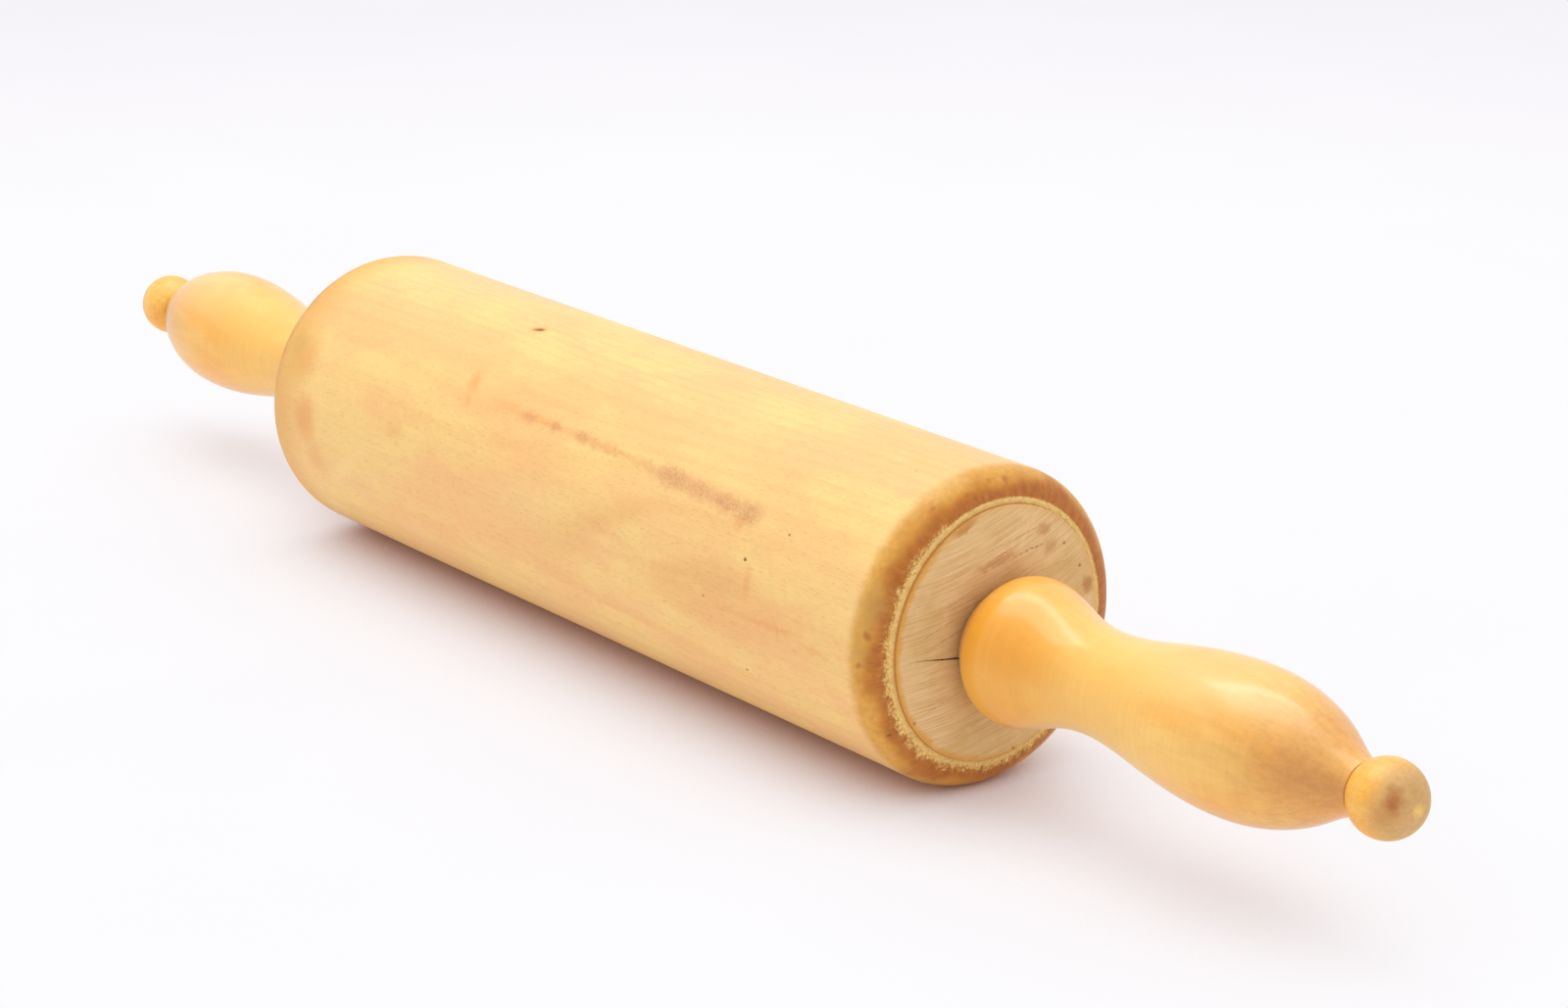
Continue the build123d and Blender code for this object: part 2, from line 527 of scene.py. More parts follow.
def crack_cut(points_mm):
    """How deep the end grain's crack goes at each point of the right face, in mm."""
    start, end = np.array(CRACK_START), np.array(CRACK_END)
    along = end - start
    flat = points_mm[..., 1:] - start
    share = np.clip((flat @ along) / (along @ along), 0, 1)
    wander = CRACK_WANDER * np.sin(share * CRACK_WAVES) * share
    side = (flat[..., 1] * along[0] - flat[..., 0] * along[1]) / np.linalg.norm(along)
    on_line = np.linalg.norm(flat - share[..., None] * along, axis=-1)
    reach = np.where((share > 0) & (share < 1), np.abs(side - wander), on_line)
    width = CRACK_HALF_WIDTH * (1.15 - share)
    return CRACK_DEPTH * (1 - 0.6 * share) * smoothstep(reach, width, 0)


def torn_reach(points_mm, seed):
    """How far out the torn fibres reach at each point, from 0 to about 1, longest at the left."""
    lean = points_mm[..., 1] + 0.7 * points_mm[..., 2]
    lopsided = 0.42 + 0.58 * smoothstep(lean, 24, -14)
    r = np.hypot(points_mm[..., 1], points_mm[..., 2])[..., None]
    round_mm = points_mm[..., 1:] / np.maximum(r, 1) * 30
    place = np.concatenate([round_mm, 0 * r], axis=-1)
    fine = 0.14 * smooth_noise(place, 0.6, seed)
    coarse = 0.22 * smooth_noise(place, 2.3, seed + 1)
    return lopsided * np.clip(0.7 + fine + coarse, 0.05, None)


def barrel_cut(face_x, radius):
    """A function that says how far wear has cut into the barrel at each point."""
    step_mm = (radius - ROUND_HEIGHT) / MM
    disc_mm = step_mm - STEP_WIDTH / MM
    radius_mm = radius / MM
    face_mm = face_x / MM

    def cut(points):
        mm = points / MM
        angle = np.arctan2(mm[..., 2], -mm[..., 1])
        r = np.hypot(mm[..., 1], mm[..., 2])
        end = smoothstep(np.abs(mm[..., 0]), face_mm - 6, face_mm - 3)
        outside = smoothstep(r, BORE_RADIUS / MM + 0.5, BORE_RADIUS / MM + 1.5)
        depth = 0.05 + 0.05 * smooth_noise(mm, 34, 11)
        depth += 0.012 * (1 + smooth_noise(mm * (0.3, 1, 1), 3, 12))
        reach = TORN_REACH * torn_reach(mm, 13)
        fray = smoothstep(r, disc_mm - 0.1, disc_mm + 0.3) * end
        fray *= smoothstep(r - step_mm, reach + 0.3, reach - 0.3)
        tearing = smooth_noise(mm, 0.8, 15) + 0.8 * smooth_noise(mm * (1, 1, 1.4), 0.5, 16)
        depth += fray * (0.06 + 0.14 * np.clip(0.3 + tearing, 0, None))
        depth += end * 0.05 * np.clip(smooth_noise(mm, 2.2, 17), 0, None)
        disc = end * smoothstep(r, disc_mm, disc_mm - 0.8)
        across = mm[..., 2] * math.cos(SAW_LEAN) - mm[..., 1] * math.sin(SAW_LEAN)
        saw = np.sin(across * 2 * math.pi / SAW_SPACING + 2 * smooth_noise(mm, 14, 18))
        depth += disc * 0.015 * (1 + saw * np.clip(0.6 + smooth_noise(mm, 9, 19), 0, None))
        for nick in NICKS:
            depth += (1 - end) * nick_cut(mm, angle, nick, radius_mm)
        depth += np.where(mm[..., 0] > face_mm - 0.3, crack_cut(mm), 0)
        return depth * outside * MM

    return cut


def make_barrel(material):
    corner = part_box("barrel")[1]
    outline = barrel_outline(corner.x, corner.z)
    cut = barrel_cut(corner.x, corner.z)
    piece = turned_piece("barrel_wood", outline, barrel_angles(), 0, cut)
    dress(piece, "roller", "barrel", material)


def fibre_points(side, surface, start_r, angle, length, lean, width, lift):
    """Rings of a torn fibre, a thin spindle that lies on a surface and leans from the radius."""
    rings = []
    for share in np.linspace(0, 1, FIBRE_RINGS):
        r = start_r + share * length * math.cos(lean)
        x = surface(r) + lift * math.sin(math.pi * min(1, 0.3 + 0.6 * share)) - 0.4 * width
        thick = width * (0.15 + math.sin(math.pi * (0.12 + 0.8 * share)))
        turn = angle + share * length * math.sin(lean) / r
        for quarter in range(4):
            around = quarter * math.pi / 2
            sideways = turn + 0.5 * thick * math.cos(around) / r
            height = x + 0.35 * thick * math.sin(around)
            rings.append((side * height, -r * math.cos(sideways), r * math.sin(sideways)))
    return rings


def fibre_faces(first, side):
    """Quads along a torn fibre of four sides, closed at both ends."""
    faces = [(first, first + 1, first + 2, first + 3)]
    for ring in range(FIBRE_RINGS - 1):
        for quarter in range(4):
            beside = (quarter + 1) % 4
            here = first + 4 * ring
            faces.append((here + quarter, here + 4 + quarter, here + 4 + beside, here + beside))
    last = first + 4 * (FIBRE_RINGS - 1)
    faces.append((last + 3, last + 2, last + 1, last))
    return faces if side > 0 else [face[::-1] for face in faces]


def make_torn_fibres(name, side, seed, material):
    """Pale crumbs and fibres torn up round the turned step at one end of the barrel."""
    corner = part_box("barrel")[1]
    step_radius = corner.z - ROUND_HEIGHT
    inner = 0.85 * STEP_WIDTH
    round_length = RIGHT_ROUND_LENGTH if side > 0 else LEFT_ROUND_LENGTH

    def surface(r):
        """Where the step and the rounded edge lie along x at a radius."""
        rise = np.clip((r - step_radius) / ROUND_HEIGHT, 0, 1)
        return corner.x - round_length + (round_length - STEP_DEPTH) * math.sqrt(1 - rise**2)

    draw = np.random.default_rng(seed)
    points, faces = [], []
    for _ in range(FIBRE_COUNT):
        angle = draw.uniform(-math.pi, math.pi)
        place = 30 * np.array([0, -math.cos(angle), math.sin(angle)])
        reach = TORN_REACH * float(torn_reach(place, 13)) * MM
        outward = draw.uniform(0, 1) ** FIBRE_CROWDING
        start_r = step_radius - inner + (inner + reach) * outward
        faces += fibre_faces(len(points), side)
        points += fibre_points(
            side,
            surface,
            start_r,
            angle,
            draw.uniform(*FIBRE_LENGTHS) * MM,
            draw.uniform(*FIBRE_LEANS),
            draw.uniform(*FIBRE_WIDTHS) * MM,
            draw.uniform(*FIBRE_LIFTS) * MM,
        )
    dress(new_piece(name, points, faces), "roller", "barrel", material)


# Handles


def axle_height():
    """Height of the axle's own axis, which the handles and balls share."""
    low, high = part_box("axle")
    return (low.z + high.z) / 2


def node_outline(node, centre_z, bore_radius):
    """The outer outline of a turned node: its vertices' places along x and their radii."""
    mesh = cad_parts[node].data
    count = len(mesh.vertices)
    points = np.empty(count * 3)
    mesh.vertices.foreach_get("co", points)
    points = points.reshape(count, 3)
    radii = np.hypot(points[:, 1], points[:, 2] - centre_z)
    outer = radii > bore_radius + 1.2 * HANDLE_BORE_CHAMFER
    rings = {}
    for x, r in zip(points[outer, 0].round(6), radii[outer]):
        rings.setdefault(x, []).append(r)
    return np.array([(x, max(rings[x])) for x in sorted(rings)])


def smooth_line(knots, step):
    """A smooth line through the knots, resampled at even steps along x (Catmull-Rom)."""
    x, r = knots[:, 0], knots[:, 1]
    slopes = np.gradient(r, x)
    places = spread(x[0], x[-1], step)
    index = np.clip(np.searchsorted(x, places) - 1, 0, len(x) - 2)
    width = x[index + 1] - x[index]
    t = (places - x[index]) / width
    rise = r[index] * (2 * t**3 - 3 * t**2 + 1) + r[index + 1] * (3 * t**2 - 2 * t**3)
    bend = slopes[index] * (t**3 - 2 * t**2 + t) + slopes[index + 1] * (t**3 - t**2)
    return np.stack([places, rise + width * bend], axis=1)


def handle_outline(node, side, centre_z):
    """The closed outline of a handle: its turned outside, its eased ends and its bore."""
    knots = node_outline(node, centre_z, HANDLE_BORE_RADIUS) * (side, 1)
    knots = knots[np.argsort(knots[:, 0])]
    outside = smooth_line(knots, HANDLE_STEP)
    base_x, tip_x = outside[0, 0], outside[-1, 0]
    mouth = HANDLE_BORE_RADIUS + HANDLE_BORE_CHAMFER
    flat_r = spread(mouth, outside[0, 1] - HANDLE_BASE_EASE, HANDLE_BASE_STEP)
    base = [(base_x, r) for r in flat_r]
    base += [(base_x + 0.05 * MM, outside[0, 1] - 0.1 * MM)]
    tip_r = outside[-1, 1]
    rim_x = tip_x + TIP_RIM_LIP
    tip = [(tip_x, tip_r), (rim_x - TIP_EASE / 2, tip_r - TIP_EASE / 2), (rim_x, tip_r - TIP_EASE)]
    tip += [(tip_x + TIP_LIP, HANDLE_CUP_RADIUS)]
    inner = spread(tip_x - HANDLE_CUP_DEPTH, base_x + HANDLE_BORE_CHAMFER, HANDLE_BORE_STEP)
    bore = [(x, HANDLE_BORE_RADIUS) for x in inner]
    outline = np.concatenate([base, outside[1:-1], tip, bore])
    return outline[::-1] if side > 0 else outline * (side, 1)


def handle_cut(centre_z, seed):
    """A function that says how far wear has cut into a handle at each point."""

    def cut(points):
        mm = points / MM
        r = np.hypot(mm[..., 1], mm[..., 2] - centre_z / MM)
        outside = smoothstep(r, HANDLE_BORE_RADIUS / MM + 0.6, HANDLE_BORE_RADIUS / MM + 1.4)
        away = np.abs(mm[..., 0])
        outside = outside * smoothstep(away, away.max() - 0.5, away.max() - 6)
        depth = 0.06 + 0.06 * smooth_noise(mm, 21, seed)
        depth += 0.02 * (1 + smooth_noise(mm * (0.4, 1, 1), 5, seed + 1))
        dents = np.clip(smooth_noise(mm, 6.5, seed + 2) - 0.62, 0, None)
        return (depth + 0.25 * dents) * outside * MM

    return cut


def make_handle(name, node, body, side, seed, material):
    centre_z = axle_height()
    outline = handle_outline(node, side, centre_z)
    angles = np.linspace(0, 2 * math.pi, HANDLE_ANGLES, endpoint=False)
    piece = turned_piece(name, outline, angles, centre_z, handle_cut(centre_z, seed))
    dress(piece, body, node, material)


# End balls


def ball_outline(node, side):
    """The outline of an end ball from its pole to the floor of its socket."""
    low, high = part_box(node)
    radius = (high.z - low.z) / 2
    centre_x = max(abs(low.x), abs(high.x)) - radius
    opening = math.asin(BALL_SOCKET_RADIUS / radius)
    back = radius * math.cos(opening)
    turn = np.linspace(0, math.pi - opening, BALL_STEPS)
    skin = np.stack([centre_x + radius * np.cos(turn), radius * np.sin(turn)], axis=1)
    skin[0, 1] = 0
    floor_x = centre_x - back + BALL_SOCKET_DEPTH
    deep = spread(centre_x - back, floor_x, SOCKET_STEP)[1:]
    wall = [(x, BALL_SOCKET_RADIUS) for x in deep]
    outline = np.concatenate([skin, wall, [(floor_x, 0)]]) * (side, 1)
    return outline if side > 0 else outline[::-1]


def ball_cut(centre_z, side, seed):
    """A function that flattens the ball's pole a little and pits the rest."""

    def cut(points):
        mm = points / MM
        r = np.hypot(mm[..., 1], mm[..., 2] - centre_z / MM)
        at_pole = mm[..., 0] * side > np.abs(mm[..., 0]).max() - 3
        depth = 0.03 + 0.03 * smooth_noise(mm, 6, seed)
        depth += 0.04 * np.clip(smooth_noise(mm, 1.6, seed + 1) - 0.25, 0, None)
        return (depth + 0.12 * at_pole * smoothstep(r, 1.9, 0.9)) * MM

    return cut


def make_ball(name, node, side, seed, material):
    centre_z = axle_height()
    angles = np.linspace(0, 2 * math.pi, BALL_ANGLES, endpoint=False)
    outline = ball_outline(node, side)
    cut = ball_cut(centre_z, side, seed)
    piece = turned_piece(name, outline, angles, centre_z, cut, closed=False)
    dress(piece, "axle_unit", node, material)


# Materials


class Nodes:
    """The node tree of a material or world, built by short calls that return sockets."""

    def __init__(self, owner):
        owner.use_nodes = True
        self.owner = owner
        self.tree = owner.node_tree
        self.tree.nodes.clear()

    def put(self, socket, value):
        """Wires a socket, or sets a plain value on it."""
        if isinstance(value, bpy.types.NodeSocket):
            self.tree.links.new(value, socket)
        else:
            socket.default_value = value

    def add(self, kind, *values, **settings):
        """A node with its settings and its first inputs in order. None leaves one alone."""
        node = self.tree.nodes.new(kind)
        for key, value in settings.items():
            setattr(node, key, value)
        for socket, value in zip(node.inputs, values):
            if value is not None:
                self.put(socket, value)
        return node

    def math(self, operation, *values):
        return self.add("ShaderNodeMath", *values, operation=operation).outputs[0]

    def times(self, *values):
        """The product of several values."""
        total = values[0]
        for value in values[1:]:
            total = self.math("MULTIPLY", total, value)
        return total

    def plus(self, one, other):
        return self.math("ADD", one, other)

    def minus(self, one, other):
        return self.math("SUBTRACT", one, other)

    def parts(self, vector):
        """The x, y and z of a vector."""
        return self.add("ShaderNodeSeparateXYZ", vector).outputs

    def combined(self, *values):
        """A vector of up to three values."""
        return self.add("ShaderNodeCombineXYZ", *values).outputs[0]

    def vector(self, operation, *values):
        node = self.add("ShaderNodeVectorMath", *values, operation=operation)
        return node.outputs["Value" if operation in ("LENGTH", "DISTANCE") else "Vector"]

    def smooth(self, value, low, high, to_low=0, to_high=1):
        """A smooth step of the value. Low may be the larger, which turns it round."""
        if low > high:
            low, high, to_low, to_high = high, low, to_high, to_low
        values = (value, low, high, to_low, to_high)
        return self.add("ShaderNodeMapRange", *values, interpolation_type="SMOOTHSTEP").outputs[0]

    def mix(self, share, under, over, blend="MIX"):
        """A colour mix by a share from 0 to 1."""
        node = self.add("ShaderNodeMix", data_type="RGBA", blend_type=blend)
        for index, value in ((0, share), (6, under), (7, over)):
            self.put(node.inputs[index], value)
        return node.outputs[2]

    def joined(self, share, under, over):
        """A plain value mixed by a share from 0 to 1."""
        return self.add("ShaderNodeMix", share, None, under, over, data_type="FLOAT").outputs[0]

    def shaded(self, colour, value, low, high, dark, light):
        """The colour, darker where the value is low and lighter where it is high."""
        return self.mix(1, colour, self.smooth(value, low, high, dark, light), "MULTIPLY")

    def layered(self, colour, layers):
        """The colour under layers of a value, where its step begins and ends, strength and tone."""
        for value, low, high, strength, tone in layers:
            colour = self.mix(self.smooth(value, low, high, 0, strength), colour, tone)
        return colour

    def noise(self, place, scale, detail=2, roughness=0.5):
        node = self.add("ShaderNodeTexNoise")
        self.put(node.inputs["Vector"], place)
        self.put(node.inputs["Scale"], scale)
        self.put(node.inputs["Detail"], detail)
        self.put(node.inputs["Roughness"], roughness)
        return node

    def value_noise(self, place, scale, detail=2, roughness=0.5):
        return self.noise(place, scale, detail, roughness).outputs["Fac"]

    def stretched(self, place, scales, offset=(0, 0, 0)):
        """The place scaled by its own factor each way, and moved."""
        return self.vector("ADD", self.vector("MULTIPLY", place, scales), offset)

    def grain(self, place, scales, detail=2, roughness=0.5, offset=(0, 0, 0)):
        """Noise of a scale of its own each way."""
        return self.value_noise(self.stretched(place, scales, offset), 1, detail, roughness)

    def wander(self, place, scales, detail, roughness):
        """A vector that wanders round zero by up to half each way."""
        noise = self.noise(self.stretched(place, scales), 1, detail, roughness)
        return self.vector("SUBTRACT", noise.outputs["Color"], (0.5, 0.5, 0.5))

    def radius(self, place):
        """How far a place is from the x axis."""
        return self.vector("LENGTH", self.stretched(place, (0, 1, 1)))

    def laid(self, flat, x, y, turn, scales=(1, 1, 1)):
        """A flat map as a mark sees it, from its own place, turn in radians and size."""
        values = (flat, (x, y, 0), (0, 0, turn), scales)
        return self.add("ShaderNodeMapping", *values, vector_type="TEXTURE").outputs[0]

    def spot(self, flat, x, y, length, width, turn=0, soft=0.6):
        """A mask of an ellipse on a flat map in mm, fading out over its soft share."""
        inside = self.laid(flat, x, y, math.radians(turn), (length / 2, width / 2, 1))
        away = self.vector("LENGTH", inside)
        return self.smooth(away, 1 + soft / 2, 1 - soft / 2 - 0.2 * soft)

    def marks(self, flat, table, radius_mm=None, soft=0.6):
        """The masks of a table of marks, joined. A radius turns degrees into mm round the pin."""
        masks = []
        for x, place, length, width, turn, strength in table:
            y = place if radius_mm is None else math.radians(place) * radius_mm
            masks.append(self.times(self.spot(flat, x, y, length, width, turn, soft), strength))
        return self.largest(masks)

    def largest(self, masks):
        """The largest of several masks at each point."""
        total = masks[0]
        for mask in masks[1:]:
            total = self.math("MAXIMUM", total, mask)
        return total

    def relief(self, height, strength):
        """A normal that follows a height in mm."""
        node = self.add("ShaderNodeBump")
        node.inputs["Strength"].default_value = strength
        node.inputs["Distance"].default_value = MM
        self.put(node.inputs["Height"], height)
        return node.outputs[0]

    def finish(self, shader, kind="Material"):
        """The material or world, with its output wired."""
        self.add(f"ShaderNodeOutput{kind}", shader.outputs[0])
        return self.owner

    def surface(self, colour, roughness, height, strength, plain=None):
        """The wood's material. Plain values go straight onto the shader's own sockets."""
        shader = self.add("ShaderNodeBsdfPrincipled")
        self.put(shader.inputs["Base Color"], colour)
        self.put(shader.inputs["Roughness"], roughness)
        for key, value in (plain or {}).items():
            shader.inputs[key].default_value = value
        self.put(shader.inputs["Normal"], self.relief(height, strength))
        return self.finish(shader)


def mm_place(nodes):
    """Object coordinates in mm."""
    place = nodes.add("ShaderNodeTexCoord").outputs["Object"]
    node = nodes.add("ShaderNodeVectorMath", place, operation="SCALE")
    node.inputs["Scale"].default_value = 1 / MM
    return node.outputs["Vector"]


def unrolled(nodes, x, y, z, radius_mm):
    """A turned surface laid flat: mm along x, and mm round the x axis at that radius."""
    angle = nodes.math("ARCTAN2", z, nodes.times(y, -1))
    return nodes.combined(x, nodes.times(angle, radius_mm), 0)


def maple(nodes, place, pith, tones, figure=1, specks=0.25):
    """Maple along x: its colour, how deep its pores and fibres lie, and its soft blotches.

    The growth rings lie round a pith that runs beside the piece, at y and z in mm.
    """
    main, deep, yellow = tones
    warp = nodes.wander(place, (0.007, 0.03, 0.03), 1, 0.5)
    warped = nodes.vector("ADD", place, nodes.stretched(warp, (0, RING_WANDER, RING_WANDER)))
    from_pith = nodes.stretched(warped, (0, 1, 1), (0, -pith[0], -pith[1]))
    drift = nodes.times(nodes.parts(place)[0], RING_DRIFT)
    leaning = nodes.plus(nodes.vector("LENGTH", from_pith), drift)
    ring = nodes.math("FRACT", nodes.math("DIVIDE", leaning, RING_SPACING))
    late = nodes.smooth(nodes.math("ABSOLUTE", nodes.minus(ring, 0.5)), 0.2, 0.48)
    band = nodes.grain(place, (0.009, 0.045, 0.045), 2)
    blotch = nodes.grain(place, (0.03, 0.07, 0.07), 3, 0.55, (3, 7, 2))
    fibre = nodes.grain(place, (0.035, 0.8, 0.8), 4, 0.7, (5, 1, 9))
    vein = nodes.grain(place, (0.02, 1.3, 1.3), 3, 0.65, (7, 2, 3))
    hair = nodes.grain(place, (0.1, 3, 3), 2, 0.6, (2, 8, 4))
    tick = nodes.grain(place, (0.5, 4, 4), 1, 0.5, (1, 4, 6))
    ticks = nodes.smooth(tick, 0.58, 0.72)
    mottle = nodes.grain(place, (0.3, 0.55, 0.55), 3, 0.7, (8, 2, 5))
    colour = nodes.mix(nodes.smooth(band, 0.36, 0.64), deep, main)
    colour = nodes.mix(nodes.smooth(blotch, 0.42, 0.68, 0, 0.8), colour, yellow)
    colour = nodes.mix(nodes.times(late, figure, 0.3), colour, RING_LINE)
    colour = nodes.mix(nodes.smooth(vein, 0.53, 0.7, 0, 0.1), colour, RING_LINE)
    colour = nodes.shaded(colour, fibre, 0.3, 0.7, 0.985, 1.01)
    colour = nodes.shaded(colour, hair, 0.3, 0.7, 0.985, 1.01)
    colour = nodes.shaded(colour, mottle, 0.3, 0.7, 0.98, 1.015)
    colour = nodes.mix(nodes.times(ticks, specks), colour, PORE)
    depth = nodes.times(nodes.plus(fibre, hair), 0.03)
    depth = nodes.minus(depth, nodes.times(ticks, 0.02))
    return colour, depth, blotch


def ring_place(nodes, x, y, z, r, radius_mm):
    """A place that changes round the pin and hardly outwards, so that its noise runs radially."""
    turned = nodes.combined(0, y, z)
    round_mm = nodes.vector("MULTIPLY", nodes.vector("NORMALIZE", turned), (radius_mm,) * 3)
    outward = nodes.plus(nodes.times(r, 0.22), nodes.times(x, 0.06))
    return nodes.vector("ADD", round_mm, nodes.combined(outward))


def barrel_material(face_mm, radius_mm):
    """The barrel's wood: lacquered maple, browned ends, a torn step and raw end grain.

    The renderer holds few values at a time, and shows a shader that needs too many as black. So
    each mask is mixed in as soon as it is made.
    """
    nodes = Nodes(bpy.data.materials.new("barrel_maple"))
    place = mm_place(nodes)
    x, y, z = nodes.parts(place)
    flat = unrolled(nodes, x, y, z, radius_mm)
    warp = nodes.wander(place, (0.5, 0.5, 0.5), 2, 0.6)
    rough_flat = nodes.vector("ADD", flat, nodes.stretched(warp, (2.8, 2.8, 0)))
    side = nodes.math("ABSOLUTE", x)
    r = nodes.radius(place)
    step_mm = radius_mm - ROUND_HEIGHT / MM
    disc_mm = step_mm - STEP_WIDTH / MM
    around = ring_place(nodes, x, y, z, r, step_mm)

    swirl = nodes.spot(flat, *BARREL_SWIRL)
    figure = nodes.smooth(swirl, 0, 1, 0.3, 0.9)
    wood, depth, blotch = maple(nodes, place, BARREL_PITH, LACQUERED_TONES, figure)
    wood = stained(nodes, wood, place, rough_flat, radius_mm)
    toward_end = nodes.smooth(x, 24 - face_mm, 2 - face_mm, 0, 0.8)
    wood = nodes.mix(toward_end, wood, BURNT_PALE)
    burnt, tone = burnt_edge(nodes, place, around, side, r, face_mm, radius_mm)
    wood = nodes.mix(burnt, wood, tone)
    olive = nodes.marks(rough_flat, OLIVE_MARKS, radius_mm, 1)
    wood = nodes.mix(olive, wood, OLIVE_STAIN)
    wood = nodes.mix(nodes.marks(flat, RED_DOTS, radius_mm, 0.9), wood, RED_SPOT)
    wood = nodes.mix(nodes.marks(flat, DARK_DOTS, radius_mm), wood, DARK_DOT)

    fray, fray_tone, torn = frayed_step(nodes, place, y, z, r, side, face_mm, step_mm, disc_mm)
    wood = nodes.mix(fray, wood, fray_tone)
    end = nodes.smooth(side, face_mm - 1.4, face_mm - 0.9)
    # Painted shade on the wall between the raised disc and the step
    wall = nodes.times(nodes.smooth(r, disc_mm + 0.12, disc_mm - 0.02), end)
    wood = nodes.mix(nodes.times(wall, 0.75), wood, WALL_SHADE)
    on_disc = nodes.smooth(side, face_mm - 0.45, face_mm - 0.3)
    on_disc = nodes.times(on_disc, nodes.smooth(r, disc_mm + 0.05, disc_mm - 0.15))
    grain, grain_depth = end_grain(nodes, place, x, y, z, r, disc_mm, warp)
    wood = nodes.mix(on_disc, wood, grain)

    raw = nodes.math("MAXIMUM", on_disc, fray)
    roughness = nodes.joined(raw, nodes.smooth(blotch, 0.3, 0.7, 0.36, 0.5), 0.85)
    raw_depth = nodes.plus(grain_depth, nodes.times(torn, 0.14))
    bump = nodes.joined(raw, depth, raw_depth)
    return nodes.surface(wood, roughness, bump, 0.8, BARREL_GLOSS)


def stained(nodes, wood, place, rough_flat, radius_mm):
    """The lacquered wood with its scuffs, its orange marks and its smudged streak."""
    wood = nodes.mix(nodes.marks(rough_flat, PALE_SCUFFS, radius_mm, 1.2), wood, FRAYED)
    orange = nodes.marks(rough_flat, ORANGE_MARKS, radius_mm, 1.2)
    wood = nodes.mix(nodes.times(orange, 0.85), wood, ORANGE_STAIN)
    dust = nodes.smooth(nodes.value_noise(place, 1.6, 2, 0.7), 0.38, 0.62, 0.55, 1)
    grey = nodes.times(nodes.marks(rough_flat, GREY_STREAK, radius_mm, 1.1), dust, 1.05)
    return nodes.mix(grey, wood, GREY_STAIN)


def burnt_edge(nodes, place, around, side, r, face_mm, radius_mm):
    """The browned roundover at each end: its mask and its tone, darkest beside the step."""
    ragged = nodes.grain(place, (0.05, 0.16, 0.16), 3, 0.6)
    edge = nodes.plus(side, nodes.times(ragged, 3))
    mask = nodes.smooth(edge, face_mm - 7.2, face_mm - 3.4)
    streak = nodes.value_noise(around, 0.9, 4, 0.7)
    speck = nodes.value_noise(place, 0.7, 3, 0.75)
    cloud = nodes.grain(place, (0.1, 0.11, 0.11), 3, offset=(4, 4, 4))
    mixed = nodes.plus(nodes.times(cloud, 7), nodes.times(speck, 1.4))
    ragged_r = nodes.minus(r, nodes.minus(mixed, 4.2))
    inward = nodes.smooth(ragged_r, radius_mm - 0.2, radius_mm - 3.2)
    tone = nodes.mix(inward, BURNT_PALE, BURNT)
    deepest = nodes.smooth(ragged_r, radius_mm - 1.4, radius_mm - 4.2)
    deep = nodes.times(deepest, nodes.smooth(streak, 0.38, 0.6, 0.55, 1))
    tone = nodes.mix(deep, tone, BURNT_DEEP)
    tone = nodes.shaded(tone, speck, 0.36, 0.64, 0.88, 1.06)
    pits = nodes.smooth(nodes.value_noise(place, 1.9, 2, 0.6), 0.68, 0.76, 0, 0.6)
    tone = nodes.mix(pits, tone, RED_SPOT)
    return nodes.times(mask, 0.96), tone


def frayed_step(nodes, place, y, z, r, side, face_mm, step_mm, disc_mm):
    """The torn pale wood on the turned step: its mask, its tone and its relief."""
    torn = nodes.value_noise(place, 1.3, 4, 0.8)
    clump = nodes.value_noise(place, 0.35, 2, 0.6)
    lean = nodes.plus(y, nodes.times(z, 0.7))
    reach = nodes.smooth(lean, 24, -14, 0.5, 2.9)
    outward = nodes.math("DIVIDE", nodes.minus(r, step_mm), reach)
    uneven = nodes.plus(nodes.times(torn, 1.7), nodes.times(clump, 1.3))
    inner = nodes.smooth(nodes.minus(uneven, outward), 0.75, 1.4)
    outer = nodes.smooth(r, disc_mm - 0.05, disc_mm + 0.12)
    near = nodes.smooth(side, face_mm - 3.4, face_mm - 2.4)
    on_step = nodes.smooth(r, step_mm + 0.6, step_mm + 0.1)
    core = nodes.times(on_step, nodes.smooth(torn, 0.3, 0.56, 0.45, 1))
    mask = nodes.times(nodes.math("MAXIMUM", inner, core), outer, near, 0.95)
    pale = nodes.math("MAXIMUM", nodes.smooth(torn, 0.4, 0.6), core)
    tone = nodes.mix(pale, BURNT_PALE, FRAYED)
    return mask, tone, torn


